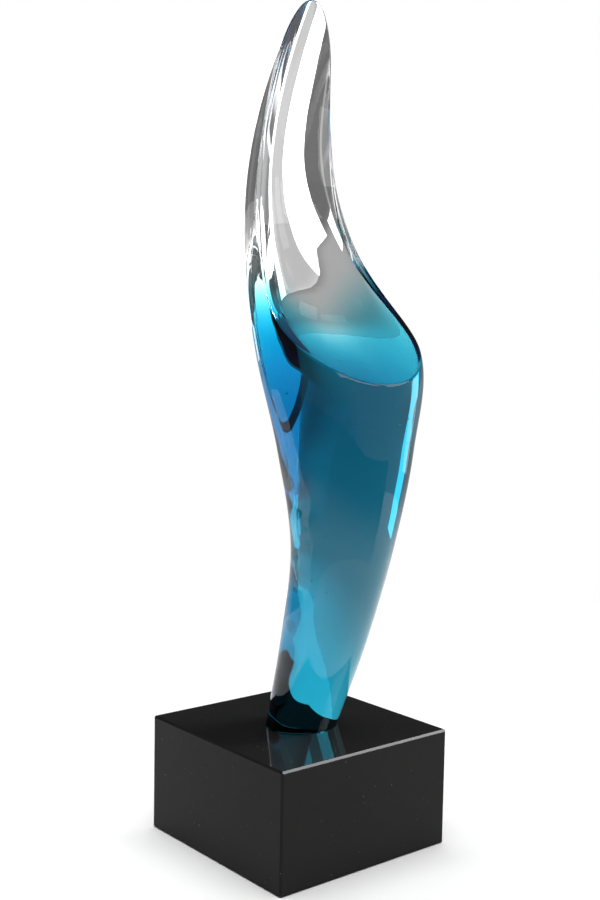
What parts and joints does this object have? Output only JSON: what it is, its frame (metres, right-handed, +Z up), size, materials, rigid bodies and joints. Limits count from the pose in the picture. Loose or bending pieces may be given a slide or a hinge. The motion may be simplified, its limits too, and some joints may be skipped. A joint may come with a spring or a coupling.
{
  "type": "crystal award",
  "caption": "Tall clear crystal flame with a leaning stalk and a scooped front face, bonded to a square black glass block; stands on a shelf or desk.",
  "frame": {"origin": "centre of the block's underside, on the surface it stands on", "axes": "+Z up through the block, -Y towards the scooped front face, +X to the right seen from the front; the award is mirror symmetric about the plane x = 0"},
  "size_m": [0.09, 0.0972, 0.3535],
  "materials": {
    "crystal": "polished clear optical crystal, faint aqua depth colour",
    "adhesive": "clear cured adhesive",
    "black_glass": "polished opaque black glass"
  },
  "bodies": {
    "root": {"crystal_flame": "crystal", "adhesive_film": "adhesive", "base_block": "black_glass"}
  },
  "joints": []
}
